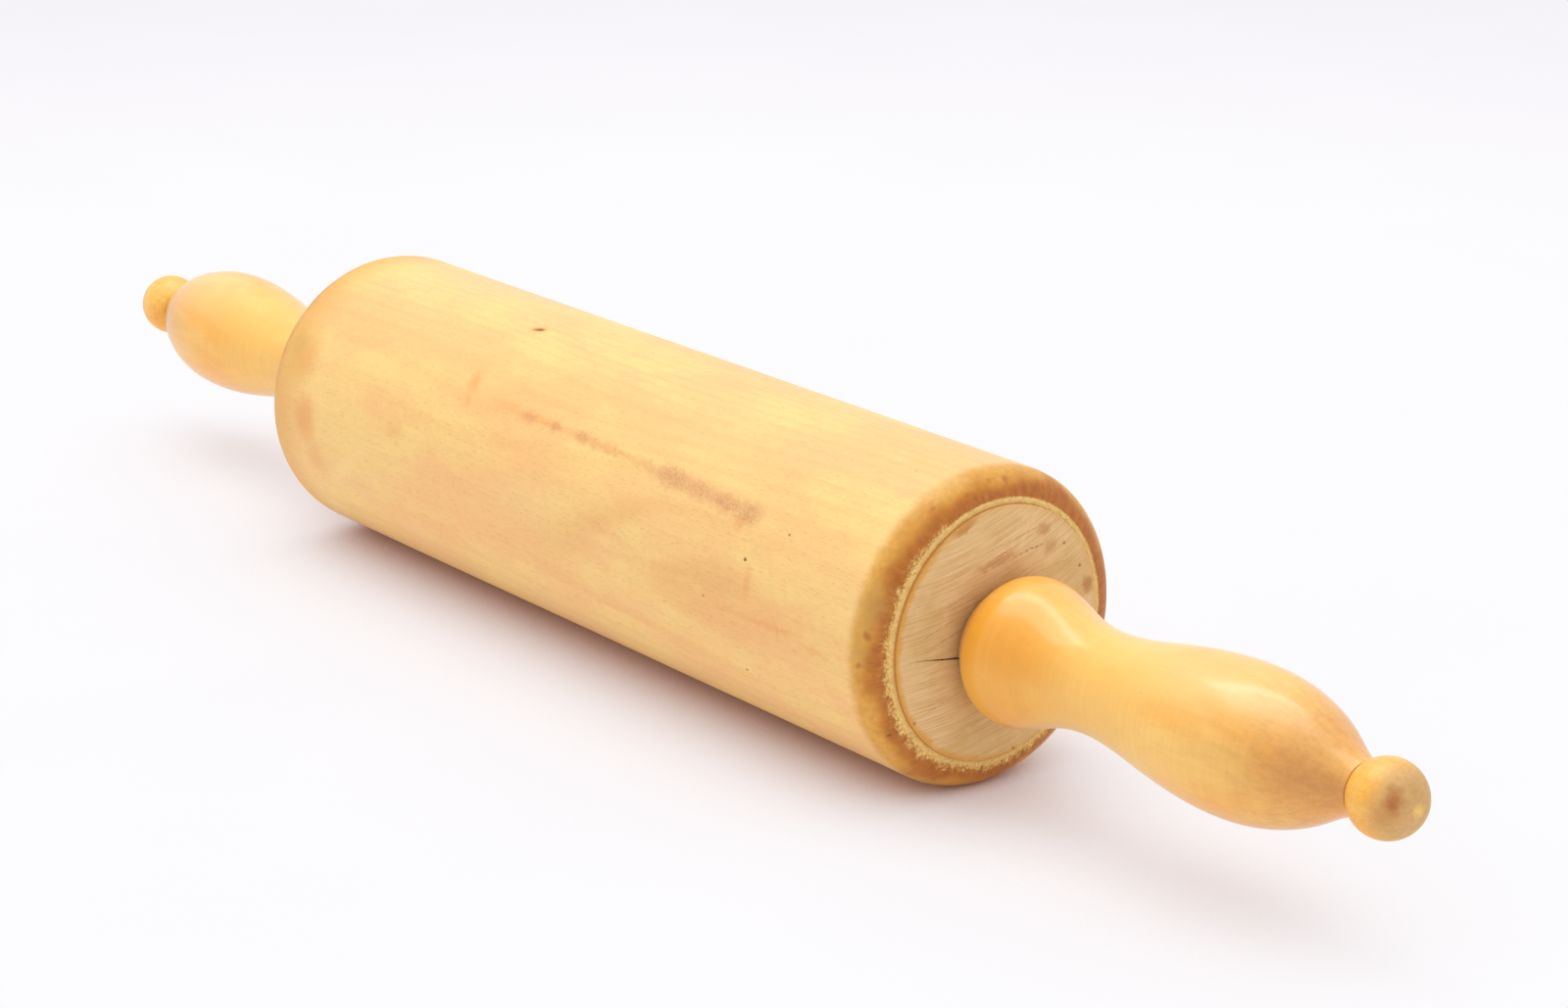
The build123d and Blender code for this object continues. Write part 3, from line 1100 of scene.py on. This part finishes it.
def end_grain(nodes, place, x, y, z, r, disc_mm, warp):
    """Raw saw-marked end grain: its colour, with painted shade round the handle's base and down the
    crack, and its relief.
    """
    lean = nodes.add("ShaderNodeVectorRotate", rotation_type="X_AXIS")
    nodes.put(lean.inputs["Vector"], place)
    lean.inputs["Angle"].default_value = -SAW_LEAN
    along, across = nodes.parts(lean.outputs[0])[1:]
    across = nodes.plus(across, nodes.times(along, along, SAW_BOW))
    turned = nodes.combined(0, along, across)
    stroke = nodes.grain(turned, (0, 0.035, 3.2), 3, 0.7)
    fine = nodes.grain(turned, (0, 0.07, 6), 2, 0.6, (0, 3, 5))
    cloud = nodes.value_noise(place, 0.07, 3, 0.6)
    speck = nodes.value_noise(place, 1.7, 3, 0.75)
    layers = [
        (stroke, 0.5, 0.64, 0.5, END_GRAIN_DARK),
        (fine, 0.52, 0.62, 0.8, END_GRAIN_PALE),
        (fine, 0.47, 0.37, 0.7, END_GRAIN_DARK),
        (cloud, 0.45, 0.68, 0.35, OLIVE_STAIN),
        (speck, 0.57, 0.72, 0.35, END_GRAIN_DARK),
    ]
    colour = nodes.layered(END_GRAIN, layers)

    right = nodes.smooth(x, 0, 1)
    flat = nodes.combined(y, z, 0)
    rough_flat = nodes.vector("ADD", flat, nodes.stretched(warp, (2.4, 2.4, 0)))
    grainy = nodes.smooth(stroke, 0.38, 0.58, 0.6, 1)
    blotches = nodes.times(nodes.marks(rough_flat, FACE_BLOTCHES, None, 0.8), right, grainy)
    colour = nodes.mix(nodes.times(blotches, 0.85), colour, RUST)
    scratches = nodes.times(nodes.marks(rough_flat, FACE_SCRATCHES), right, 0.6)
    colour = nodes.mix(scratches, colour, END_GRAIN_PALE)
    slight = nodes.vector("ADD", flat, nodes.stretched(warp, (0.7, 0.7, 0)))
    dashes = nodes.smooth(nodes.value_noise(place, 0.9, 2), 0.36, 0.56)
    strokes = nodes.times(nodes.marks(slight, SAW_STROKES), right, dashes)
    colour = nodes.mix(strokes, colour, DARK_DOT)
    colour = nodes.mix(nodes.times(nodes.marks(flat, FACE_DOTS), right), colour, DARK_DOT)
    # Painted shade on the end grain round the handle's base
    colour = nodes.mix(nodes.smooth(r, *SHADE_AT_HANDLE_FADE, 0, 0.2), colour, SHADE_AT_HANDLE)
    ragged = nodes.plus(r, nodes.times(nodes.value_noise(place, 0.35, 3), 2.2))
    sideways = nodes.plus(y, nodes.times(z, 0.3))
    leftward = nodes.smooth(sideways, 10, -20, 0.25, 0.85)
    rim = nodes.times(nodes.smooth(ragged, disc_mm - 0.9, disc_mm + 0.9), leftward)
    colour = nodes.mix(rim, colour, BURNT_PALE)
    # Painted shade down the end grain's crack
    crack = nodes.times(crack_mask(nodes, flat), right)
    colour = nodes.mix(crack, colour, CRACK_SHADE)
    relief = nodes.times(nodes.plus(stroke, fine), 0.07)
    return colour, relief


def crack_mask(nodes, flat):
    """A mask of the crack that runs out from under the handle on the right end face."""
    along = CRACK_END - CRACK_START
    turn = math.atan2(along.y, along.x)
    run, off, _ = nodes.parts(nodes.laid(flat, CRACK_START.x, CRACK_START.y, turn))
    share = nodes.math("DIVIDE", run, along.length)
    wave = nodes.math("SINE", nodes.times(share, CRACK_WAVES))
    wander = nodes.times(wave, share, CRACK_WANDER)
    away = nodes.math("ABSOLUTE", nodes.minus(off, wander))
    width = nodes.times(nodes.minus(1.08, share), CRACK_HALF_WIDTH)
    inside = nodes.smooth(nodes.minus(width, away), -0.04, 0.03)
    fading = nodes.smooth(share, 1, 0.4, 0.25, 0.95)
    ends = nodes.times(nodes.smooth(share, -0.02, 0), nodes.smooth(share, 1.02, 0.97))
    return nodes.times(inside, ends, fading)


def fray_material():
    """Dry pale fibres, torn up by the lathe tool."""
    nodes = Nodes(bpy.data.materials.new("torn_maple"))
    place = mm_place(nodes)
    tuft = nodes.value_noise(place, 0.5, 3, 0.7)
    fine = nodes.value_noise(place, 2.4, 2, 0.6)
    colour = nodes.mix(nodes.smooth(tuft, 0.28, 0.5), BURNT_PALE, FRAYED)
    colour = nodes.mix(nodes.smooth(fine, 0.5, 0.7, 0, 0.6), colour, END_GRAIN_PALE)
    step_mm = (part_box("barrel")[1].z - ROUND_HEIGHT) / MM
    r = nodes.radius(place)
    outer = nodes.smooth(r, step_mm + 0.2, step_mm + 1.6, 0, 0.75)
    colour = nodes.mix(outer, colour, BURNT_PALE)
    roughness = nodes.smooth(fine, 0.3, 0.7, 0.8, 0.95)
    return nodes.surface(colour, roughness, fine, 0.3, FRAY_GLOSS)


def handle_material(name, pith, seed):
    """Glossy amber maple that darkens where end grain shows, with painted shade, a painted
    highlight and a browned tip that is partly painted shade.
    """
    nodes = Nodes(bpy.data.materials.new(name))
    place = mm_place(nodes)
    shifted = nodes.vector("ADD", place, (seed, 2 * seed, 3 * seed))
    normal = nodes.add("ShaderNodeTexCoord").outputs["Normal"]
    steep = nodes.math("ABSOLUTE", nodes.parts(normal)[0])
    x, y, z = nodes.parts(place)
    side = nodes.math("ABSOLUTE", x)
    level = nodes.minus(z, axle_height() / MM)
    flat = unrolled(nodes, side, y, level, HANDLE_ARC_RADIUS)
    wood, depth, blotch = maple(nodes, shifted, pith, AMBER_TONES, 0.3, 0.08)
    wood = nodes.mix(nodes.smooth(side, *BASE_FADE, 0, 0.4), wood, AMBER_DEEP)
    # Painted shade across the bead's middle, where the lacquer shows no reflection
    wood = nodes.mix(nodes.marks(flat, HANDLE_PAINTED_SHADES, HANDLE_ARC_RADIUS, 1.3), wood, AMBER_PAINTED_SHADE)
    # Painted highlight on the top of the swell
    wood = nodes.mix(nodes.marks(flat, HANDLE_PAINTED_HIGHLIGHTS, HANDLE_ARC_RADIUS, 1.3), wood, AMBER_PAINTED_HIGHLIGHT)
    from_neck = nodes.math("ABSOLUTE", nodes.minus(side, NECK_MIDDLE))
    neck = nodes.smooth(from_neck, *NECK_FADE)
    wood = nodes.mix(nodes.times(neck, 0.55), wood, AMBER_YELLOW)
    streak = nodes.grain(shifted, (0.025, 0.8, 0.8), 3, 0.65)
    ends = nodes.smooth(steep, 0.2, 0.8, 0, 0.85)
    ends = nodes.times(ends, nodes.smooth(streak, 0.3, 0.65, 0.75, 1))
    ends = nodes.times(ends, nodes.smooth(side, *END_FADE, 0.25, 1))
    wood = nodes.mix(ends, wood, AMBER_END)
    toward_tip = nodes.smooth(side, *TIP_FADE)
    wood = nodes.mix(nodes.times(toward_tip, 0.22), wood, AMBER_END)
    # The browned tip, browner on its front side: real browning along the grain, partly painted
    # shade
    brown = nodes.marks(flat, HANDLE_BROWNS_AND_SHADE, HANDLE_ARC_RADIUS, 1.3)
    brown = nodes.times(brown, nodes.smooth(streak, 0.3, 0.65, 0.75, 1))
    wood = nodes.mix(brown, wood, AMBER_STREAK)
    dark = nodes.times(nodes.smooth(streak, 0.42, 0.72), toward_tip, 0.3)
    wood = nodes.mix(dark, wood, AMBER_STREAK)
    turning = nodes.grain(shifted, (1.5, 0.03, 0.03), 3, 0.7)
    wood = nodes.shaded(wood, turning, 0.35, 0.65, 0.972, 1.014)
    pits = nodes.smooth(nodes.value_noise(shifted, 0.8, 2, 0.6), 0.745, 0.78, 0, 0.6)
    wood = nodes.mix(pits, wood, AMBER_STREAK)
    height = nodes.plus(depth, nodes.times(turning, 0.008))
    roughness = nodes.smooth(blotch, 0.3, 0.7, 0.4, 0.5)
    return nodes.surface(wood, roughness, height, 0.35, HANDLE_GLOSS)


def ball_material():
    """Amber maple with a smear and a worn pole, where the lathe held it."""
    nodes = Nodes(bpy.data.materials.new("ball_maple"))
    place = mm_place(nodes)
    x, y, z = nodes.parts(place)
    low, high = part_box("end_ball_right")
    middle_mm = (high.x - (high.z - low.z) / 2) / MM
    out = nodes.minus(nodes.math("ABSOLUTE", x), middle_mm)
    level = nodes.minus(z, axle_height() / MM)
    warp = nodes.wander(place, (0.5, 0.5, 0.5), 3, 0.65)
    local = nodes.vector("ADD", nodes.combined(out, y, level), nodes.stretched(warp, (3, 3, 3)))
    r = nodes.radius(local)
    moved = nodes.vector("ADD", place, (9, 4, 2))
    wood, depth, _ = maple(nodes, moved, BALL_PITH, AMBER_TONES, 0.3, 0.15)
    speck = nodes.value_noise(place, 0.9, 3, 0.75)
    steep = nodes.smooth(out, 0, 6)
    wood = nodes.mix(nodes.times(steep, 0.9), wood, WORN_TAN)
    grey = nodes.value_noise(place, 0.35, 3, 0.6)
    patch = nodes.times(steep, nodes.smooth(grey, 0.42, 0.62), 0.5)
    wood = nodes.mix(patch, wood, OLIVE_STAIN)
    wood = nodes.shaded(wood, speck, 0.34, 0.66, 0.93, 1.05)
    # Darker brown on the ball's front, towards its pole
    shade = nodes.smooth(nodes.vector("DISTANCE", local, BALL_SHADE), 4.6, 1, 0, 0.5)
    wood = nodes.mix(shade, wood, AMBER_STREAK)
    smear = nodes.math(
        "MAXIMUM",
        nodes.smooth(nodes.vector("DISTANCE", local, BALL_SMEAR), 3.2, 0.3),
        nodes.smooth(nodes.vector("DISTANCE", local, BALL_SMEAR_TAIL), 2.4, 0.2, 0, 0.7),
    )
    smear = nodes.times(smear, nodes.smooth(speck, 0.3, 0.6, 0.6, 0.9))
    wood = nodes.mix(smear, wood, BURNT_DEEP)
    at_pole = nodes.smooth(out, 5.5, 7)
    nib = nodes.times(nodes.smooth(r, 2.4, 0.4), at_pole, 0.75)
    wood = nodes.mix(nib, wood, AMBER_YELLOW)
    roughness = nodes.smooth(steep, 0, 1, 0.4, 0.6)
    return nodes.surface(wood, roughness, depth, 0.4, BALL_GLOSS)


def dowel_material():
    """Bare dowel, its roughness changing in soft blotches."""
    nodes = Nodes(bpy.data.materials.new("axle_wood"))
    place = mm_place(nodes)
    wood, depth, blotch = maple(nodes, place, AXLE_PITH, DOWEL_TONES, 0.6)
    roughness = nodes.smooth(blotch, 0.3, 0.7, 0.55, 0.7)
    return nodes.surface(wood, roughness, depth, 0.7)


# Stage, lights and camera


def background_rays(nodes):
    """1 for rays that see a white ground: the camera's, and those off gloss or through glass."""
    rays = nodes.add("ShaderNodeLightPath").outputs
    kinds = ("Is Camera Ray", "Is Glossy Ray", "Is Transmission Ray")
    return nodes.largest([rays[kind] for kind in kinds])


def floor_material():
    """White paper with its shadow and a painted contact shadow, lifted to near white where it lies
    open.
    """
    nodes = Nodes(bpy.data.materials.new("floor_paper"))
    place = mm_place(nodes)
    far = nodes.smooth(nodes.vector("LENGTH", place), *FLOOR_FADE)
    tone = nodes.mix(far, FLOOR_WHITE, FLOOR_FAR)
    mottle = nodes.grain(place, (0.01, 0.01, 0.01), 3)
    tone = nodes.shaded(tone, mottle, 0.3, 0.7, 0.99, 1)
    fibre = nodes.grain(place, (0.8, 0.8, 0.8), 3)
    seen = background_rays(nodes)
    level = nodes.smooth(seen, 0, 1, PAPER_LEVEL, PAPER_SHOWN_LEVEL)
    sky = nodes.add("ShaderNodeAmbientOcclusion", None, OPEN_REACH, samples=OPEN_SAMPLES)
    sky = sky.outputs["AO"]
    # Painted contact shadow: where little sky is open, beside the barrel, the paper is tinted
    # darker and browner
    under = nodes.smooth(sky, *CONTACT_SKY)
    warmth = nodes.mix(under, PAPER_SHADOW_TINT, CONTACT_SHADOW_TINT)
    warm = nodes.mix(seen, tone, nodes.mix(1, tone, warmth, "MULTIPLY"))
    colour = nodes.mix(1, warm, level, "MULTIPLY")
    paper = nodes.add("ShaderNodeBsdfDiffuse", colour, 0, nodes.relief(fibre, 0.05))
    # The emitted paper that the camera sees is darkened and browned there too: painted contact
    # shadow
    dimmed = nodes.mix(1, tone, nodes.mix(under, WHITE, CONTACT_SHADOW_TINT), "MULTIPLY")
    shown = nodes.add("ShaderNodeEmission", dimmed, 1)
    lifted = nodes.times(nodes.minus(sky, OPEN_LOW), OPEN_GAIN)
    open_share = nodes.math("MINIMUM", nodes.math("MAXIMUM", lifted, 0), 1)
    share = nodes.times(seen, open_share)
    either = nodes.add("ShaderNodeMixShader", share, paper.outputs[0], shown.outputs[0])
    return nodes.finish(either)


def make_floor():
    mesh = bpy.data.meshes.new("floor")
    ways = ((-1, -1), (1, -1), (1, 1), (-1, 1))
    corners = [(x * FLOOR_REACH, y * FLOOR_REACH, 0) for x, y in ways]
    mesh.from_pydata(corners, [], [(0, 1, 2, 3)])
    floor = bpy.data.objects.new("floor", mesh)
    floor.location.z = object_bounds()[0][2]
    bpy.context.scene.collection.objects.link(floor)
    mesh.materials.append(floor_material())


def placed(name, data, place, axes):
    """A lamp or camera in the scene, at a place and with its own three axes."""
    thing = bpy.data.objects.new(name, data)
    thing.matrix_world = Matrix.Translation(place) @ Matrix(axes).transposed().to_4x4()
    bpy.context.scene.collection.objects.link(thing)
    return thing


def light_from(name, place, size, power):
    """A soft rectangular lamp at a place, turned to the origin, with its width along the pin."""
    lamp = bpy.data.lights.new(name, "AREA")
    lamp.shape = "RECTANGLE"
    lamp.size, lamp.size_y = size
    lamp.energy = power
    lamp.color = LAMP_TINT
    back = Vector(place).normalized()
    side = Vector(LAMPS_ALONG)
    side = (side - side.dot(back) * back).normalized()
    placed(name, lamp, place, (side, back.cross(side), back))


def make_world():
    """Even light, with a white background for the camera, for gloss and for glass."""
    nodes = Nodes(bpy.data.worlds.new("studio"))
    light = nodes.add("ShaderNodeBackground", WORLD_TINT, WORLD_LEVEL)
    backdrop = nodes.add("ShaderNodeBackground", FLOOR_FAR, 1)
    seen = background_rays(nodes)
    shown = nodes.add("ShaderNodeMixShader", seen, light.outputs[0], backdrop.outputs[0])
    bpy.context.scene.world = nodes.finish(shown, "World")


def make_camera():
    data = bpy.data.cameras.new("camera")
    data.lens = CAMERA_LENS
    data.sensor_width = CAMERA_SENSOR
    data.sensor_fit = "HORIZONTAL"
    data.clip_start, data.clip_end = CAMERA_CLIP
    ahead = CAMERA_AIM.normalized()
    right = ahead.cross(Vector((0, 0, 1))).normalized()
    axes = (right, right.cross(ahead), -ahead)
    bpy.context.scene.camera = placed("camera", data, CAMERA_PLACE, axes)


def make_lights():
    light_from("strip", STRIP_PLACE, STRIP_SIZE, STRIP_POWER)
    light_from("panel", PANEL_PLACE, PANEL_SIZE, PANEL_POWER)
    make_world()


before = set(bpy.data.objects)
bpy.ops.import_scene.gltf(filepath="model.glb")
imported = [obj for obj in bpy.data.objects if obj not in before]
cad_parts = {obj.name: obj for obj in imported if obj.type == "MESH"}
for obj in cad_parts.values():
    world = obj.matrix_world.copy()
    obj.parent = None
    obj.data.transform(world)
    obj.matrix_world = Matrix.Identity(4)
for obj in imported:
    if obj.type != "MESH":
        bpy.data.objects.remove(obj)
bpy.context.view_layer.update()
bpy.context.scene.view_settings.view_transform = "Standard"

barrel_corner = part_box("barrel")[1]
make_barrel(barrel_material(barrel_corner.x / MM, barrel_corner.z / MM))
torn_wood = fray_material()
make_torn_fibres("torn_fibres_right", side=1, seed=71, material=torn_wood)
make_torn_fibres("torn_fibres_left", side=-1, seed=72, material=torn_wood)
right_wood = handle_material("handle_maple_right", HANDLE_PITHS[0], 3)
left_wood = handle_material("handle_maple_left", HANDLE_PITHS[1], 11)
make_handle("handle_right_wood", "handle_right", "right_grip", side=1, seed=31, material=right_wood)
make_handle("handle_left_wood", "handle_left", "left_grip", side=-1, seed=41, material=left_wood)
ball_wood = ball_material()
make_ball("end_ball_right_wood", "end_ball_right", side=1, seed=51, material=ball_wood)
make_ball("end_ball_left_wood", "end_ball_left", side=-1, seed=61, material=ball_wood)
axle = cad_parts["axle"]
axle.data.materials.clear()
axle.data.materials.append(dowel_material())

make_floor()
make_lights()
make_camera()
